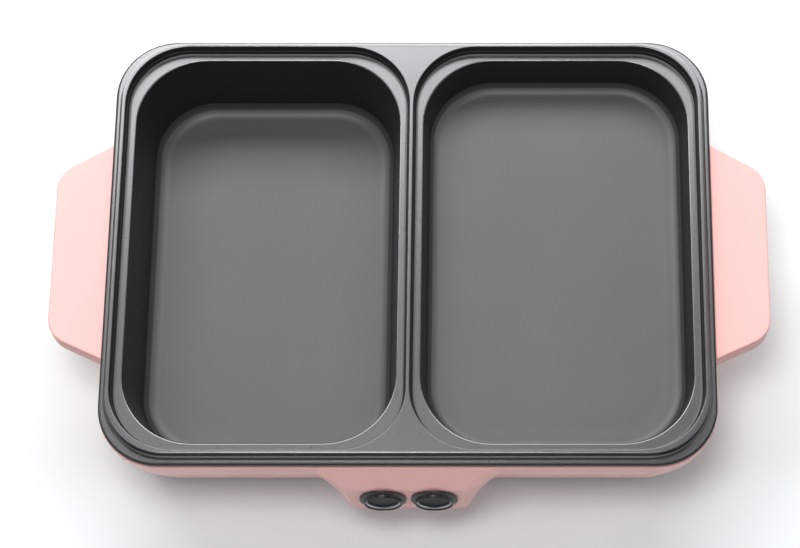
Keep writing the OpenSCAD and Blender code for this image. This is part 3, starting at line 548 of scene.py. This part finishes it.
def make_knob(side, name):
    """Hub, thin skirt, rounded lip and recessed face of one knob."""
    profile = [(0, -HUB_DEEP), (HUB_R - 0.2, -HUB_DEEP), (HUB_R, 0.2 - HUB_DEEP), (HUB_R, 0)]
    profile += [(SKIRT_R - 0.3, 0), (SKIRT_R - 0.1, 0.08), (SKIRT_R, 0.25), (SKIRT_R, 0.5),
                (SKIRT_R - 0.13, 0.68), (SKIRT_R - 0.4, 0.8)]
    profile += [(CUP_R + 0.6, 1.05), (CUP_R + 0.2, 1.25), (CUP_R, 1.6), (CUP_R, CUP_TOP - 0.5),
                (CUP_R - 0.05, CUP_TOP - 0.25), (CUP_R - 0.18, CUP_TOP - 0.08),
                (CUP_R - 0.35, CUP_TOP), (CUP_BORE + 0.1, CUP_TOP - 0.08),
                (CUP_BORE + 0.02, CUP_TOP - 0.3), (CUP_BORE, CUP_TOP - 0.7)]
    profile += [(CUP_BORE, KNOB_FLOOR), (5.0, KNOB_FLOOR), (0, KNOB_FLOOR)]
    kinds = [0] * (len(profile) - 2) + [1] * 2
    return on_face(name + "_knob_grip", side, profile, [BLACK, BLACK_FACE], kinds, pointer)


def make_ring(side, name):
    """The bevelled ring inside the knob's lip, bright on the upper half of its slope."""
    inner, outer, low = 7.45, CUP_BORE - 0.01, KNOB_FLOOR + 0.01
    profile = [(inner, low), (7.48, 1.04), (7.6, 1.14), (8.2, 1.55), (8.8, 1.94), (9.05, 2.1),
               (9.2, 2.16), (outer, 2.17), (outer, low), (inner, low)]
    kinds = [1] * 4 + [0] * 3 + [1] * 3
    return on_face(name + "_knob_bezel", side, profile, [CHROME, BLACK_FACE], kinds)


def make_feet():
    """Four rubber feet, anticlockwise from the left front one."""
    profile = [(0, 0), (FOOT_R - 1.8, 0), (FOOT_R - 0.9, 0.25), (FOOT_R - 0.5, 0.8),
               (FOOT_R - 0.2, 2.6), (FOOT_R, FOOT_TALL - 0.4), (FOOT_R, FOOT_TALL),
               (0, FOOT_TALL)]
    inset = BODY_LEAN + BODY_FOOT_ROUND + FOOT_INSET
    feet = []
    for k, (sx, sy) in enumerate(((-1, -1), (1, -1), (1, 1), (-1, 1))):
        place = (sx * (BAND_X - inset), sy * (BAND_Y - inset), 0)
        feet.append(turned("foot_%d" % (k + 1), profile, [RUBBER], [0] * len(profile), place,
                           n=40))
    return feet


# ---------------------------------------------------------------- assembly
pan = make_pan()
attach(pan, "base")
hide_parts("twin_pan")

shell = make_housing()
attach(shell, "base")
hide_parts("base_housing")

console = make_console()
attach(console, "base")
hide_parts("control_console")

for side, name in ((-1, "left"), (1, "right")):
    wing = make_handle(side, name)
    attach(wing, "base")
    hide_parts(name + "_handle")
    grip = make_knob(side, name)
    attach(grip, "knob_" + name)
    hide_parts(name + "_knob")
    bezel = make_ring(side, name)
    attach(bezel, "knob_" + name)
    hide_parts(name + "_knob_ring")

feet = make_feet()
for foot in feet:
    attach(foot, "base")
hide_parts("rubber_feet")

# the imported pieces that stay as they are, each with its finish
CARRIED = {
    "bottom_cover": PINK_MATT, "cover_screws": STEEL, "handle_screws": STEEL,
    "console_screws": STEEL, "thermostat_bracket": STEEL, "left_thermostat": CERAMIC,
    "right_thermostat": CERAMIC, "left_shaft": STEEL, "right_shaft": STEEL, "pan_seal": SEAL,
    "pan_posts": STEEL, "pan_screws": STEEL, "hot_pot_heater": SHEATH, "grill_heater": SHEATH,
    "hot_pot_heater_straps": STEEL, "grill_heater_straps": STEEL, "hot_pot_sensor": CERAMIC,
    "grill_sensor": CERAMIC, "heat_shield": SHEET, "shield_spacers": CERAMIC,
    "thermal_fuse": STEEL, "terminal_block": CERAMIC, "cord_bush": RUBBER, "inner_wiring": WIRE,
}
for node, finish in CARRIED.items():
    for material_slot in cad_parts[node].material_slots:
        material_slot.material = finish


# ---------------------------------------------------------------- stage, light, camera
def make_floor():
    """A wide white floor, pale to the eye, that throws less light back onto the part."""
    half = 3.0
    mesh = bpy.data.meshes.new("floor")
    mesh.from_pydata([(-half, -half, 0), (half, -half, 0), (half, half, 0), (-half, half, 0)],
                     [], [(0, 1, 2, 3)])
    obj = bpy.data.objects.new("floor", mesh)
    bpy.context.scene.collection.objects.link(obj)
    m = bpy.data.materials.new("floor_white")
    m.use_nodes = True
    nodes, links = m.node_tree.nodes, m.node_tree.links
    shader = nodes["Principled BSDF"]
    shader.inputs["Roughness"].default_value = 0.9
    shader.inputs["Specular IOR Level"].default_value = 0.0
    path = nodes.new("ShaderNodeLightPath")

    def math_node(operation, a, b):
        n = nodes.new("ShaderNodeMath")
        n.operation = operation
        n.use_clamp = True
        links.new(a, n.inputs[0])
        if isinstance(b, float):
            n.inputs[1].default_value = b
        else:
            links.new(b, n.inputs[1])
        return n.outputs["Value"]

    # 1 where it is seen straight, in gloss or through a clear surface, 0 for its bounced light
    seen = math_node("ADD", path.outputs["Is Camera Ray"], path.outputs["Is Glossy Ray"])
    seen = math_node("ADD", seen, path.outputs["Is Transmission Ray"])
    shade = nodes.new("ShaderNodeMix")
    shade.data_type = "RGBA"
    shade.inputs["A"].default_value = (0.62, 0.66, 0.66, 1)
    shade.inputs["B"].default_value = (0.81, 0.86, 0.862, 1)
    links.new(seen, shade.inputs["Factor"])
    links.new(shade.outputs["Result"], shader.inputs["Base Color"])
    links.new(math_node("MULTIPLY", seen, 0.06), shader.inputs["Emission Strength"])
    shader.inputs["Emission Color"].default_value = (1, 1, 1, 1)
    mesh.materials.append(m)
    return obj


floor = make_floor()

world = bpy.data.worlds.new("studio")
bpy.context.scene.world = world
world.use_nodes = True
world.node_tree.nodes["Background"].inputs["Color"].default_value = (1, 1, 1, 1)
world.node_tree.nodes["Background"].inputs["Strength"].default_value = 0.15


LIGHT_AIM = Vector((0, 0, 0.05))


def panel(name, place, size, radiance):
    """A rectangular soft light at place, turned towards the part."""
    light = bpy.data.lights.new(name, "AREA")
    light.shape = "RECTANGLE"
    light.size, light.size_y = size
    # the renderer makes a panel's radiance from a quarter of its watts for each square metre
    light.energy = 4 * size[0] * size[1] * radiance
    obj = bpy.data.objects.new(name, light)
    obj.location = place
    obj.rotation_euler = (LIGHT_AIM - Vector(place)).to_track_quat("-Z", "Y").to_euler()
    bpy.context.scene.collection.objects.link(obj)


# (name, x, y, z, width, depth, radiance)
for name, x, y, z, width, depth, radiance in (
        ("back", -0.18, 1.25, 1.62, 2.6, 0.74, 5.6), ("key", -0.12, -0.2, 1.7, 0.5, 0.5, 11.0),
        ("left", -1.5, -0.1, 0.9, 1.6, 0.5, 1.0), ("right", 1.5, -0.1, 0.9, 1.6, 0.5, 1.0),
        ("front", -0.1, -1.3, 1.5, 2.0, 0.5, 0.6)):
    panel("soft_" + name, (x, y, z), (width, depth), radiance)

# The photograph's view: 69.5 degrees above the horizon, its axis right of the frame's middle
ELEVATION = math.radians(69.5)
DISTANCE = 1.2834
AIM = Vector((0.0512, (-15.5 + SHIFT_Y) * MM, 0.078))
camera = bpy.data.cameras.new("camera")
camera.lens = 109.85
camera.sensor_width = 36
camera.shift_x = -0.13375
view = bpy.data.objects.new("camera", camera)
view.location = AIM + DISTANCE * Vector((0, -math.cos(ELEVATION), math.sin(ELEVATION)))
view.rotation_euler = (math.pi / 2 - ELEVATION, 0, 0)
bpy.context.scene.collection.objects.link(view)
bpy.context.scene.camera = view
bpy.context.scene.view_settings.view_transform = "Standard"


bpy.context.view_layer.update()
